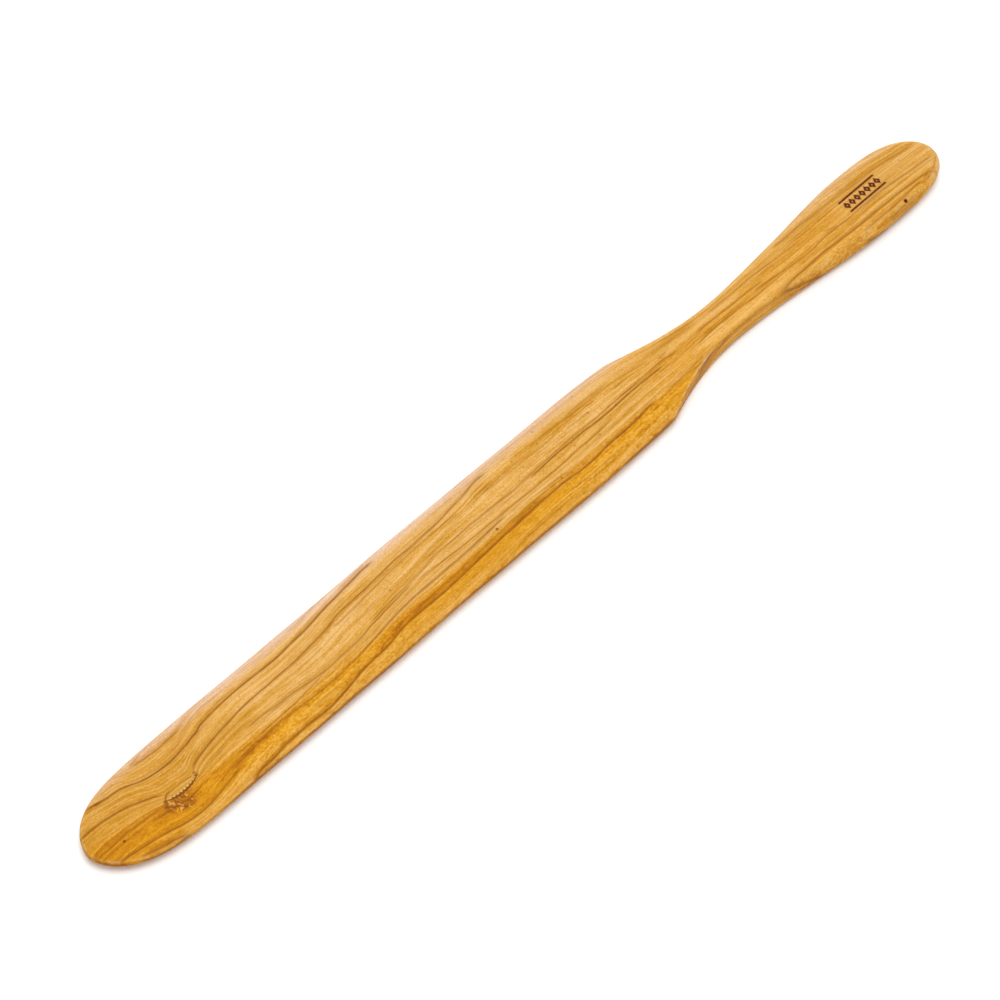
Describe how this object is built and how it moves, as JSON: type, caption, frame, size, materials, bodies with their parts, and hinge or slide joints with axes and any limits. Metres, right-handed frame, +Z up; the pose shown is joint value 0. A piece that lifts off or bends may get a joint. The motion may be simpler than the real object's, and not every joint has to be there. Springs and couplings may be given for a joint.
{
  "type": "crepe turner",
  "caption": "Slim olive-wood turner carved from one board: long thin blade with a rounded tip, shoulders, a waisted neck and a paddle handle.",
  "frame": {"origin": "under the middle of the tool's bounding box, on the surface it lies on", "axes": "+X from the butt of the handle to the tip of the blade, +Z up out of the upper face, +Y across the tool"},
  "size_m": [0.35, 0.0298, 0.007],
  "materials": {
    "olive_wood": "oiled, satin"
  },
  "bodies": {
    "root": {"turner": "olive_wood"}
  },
  "joints": []
}
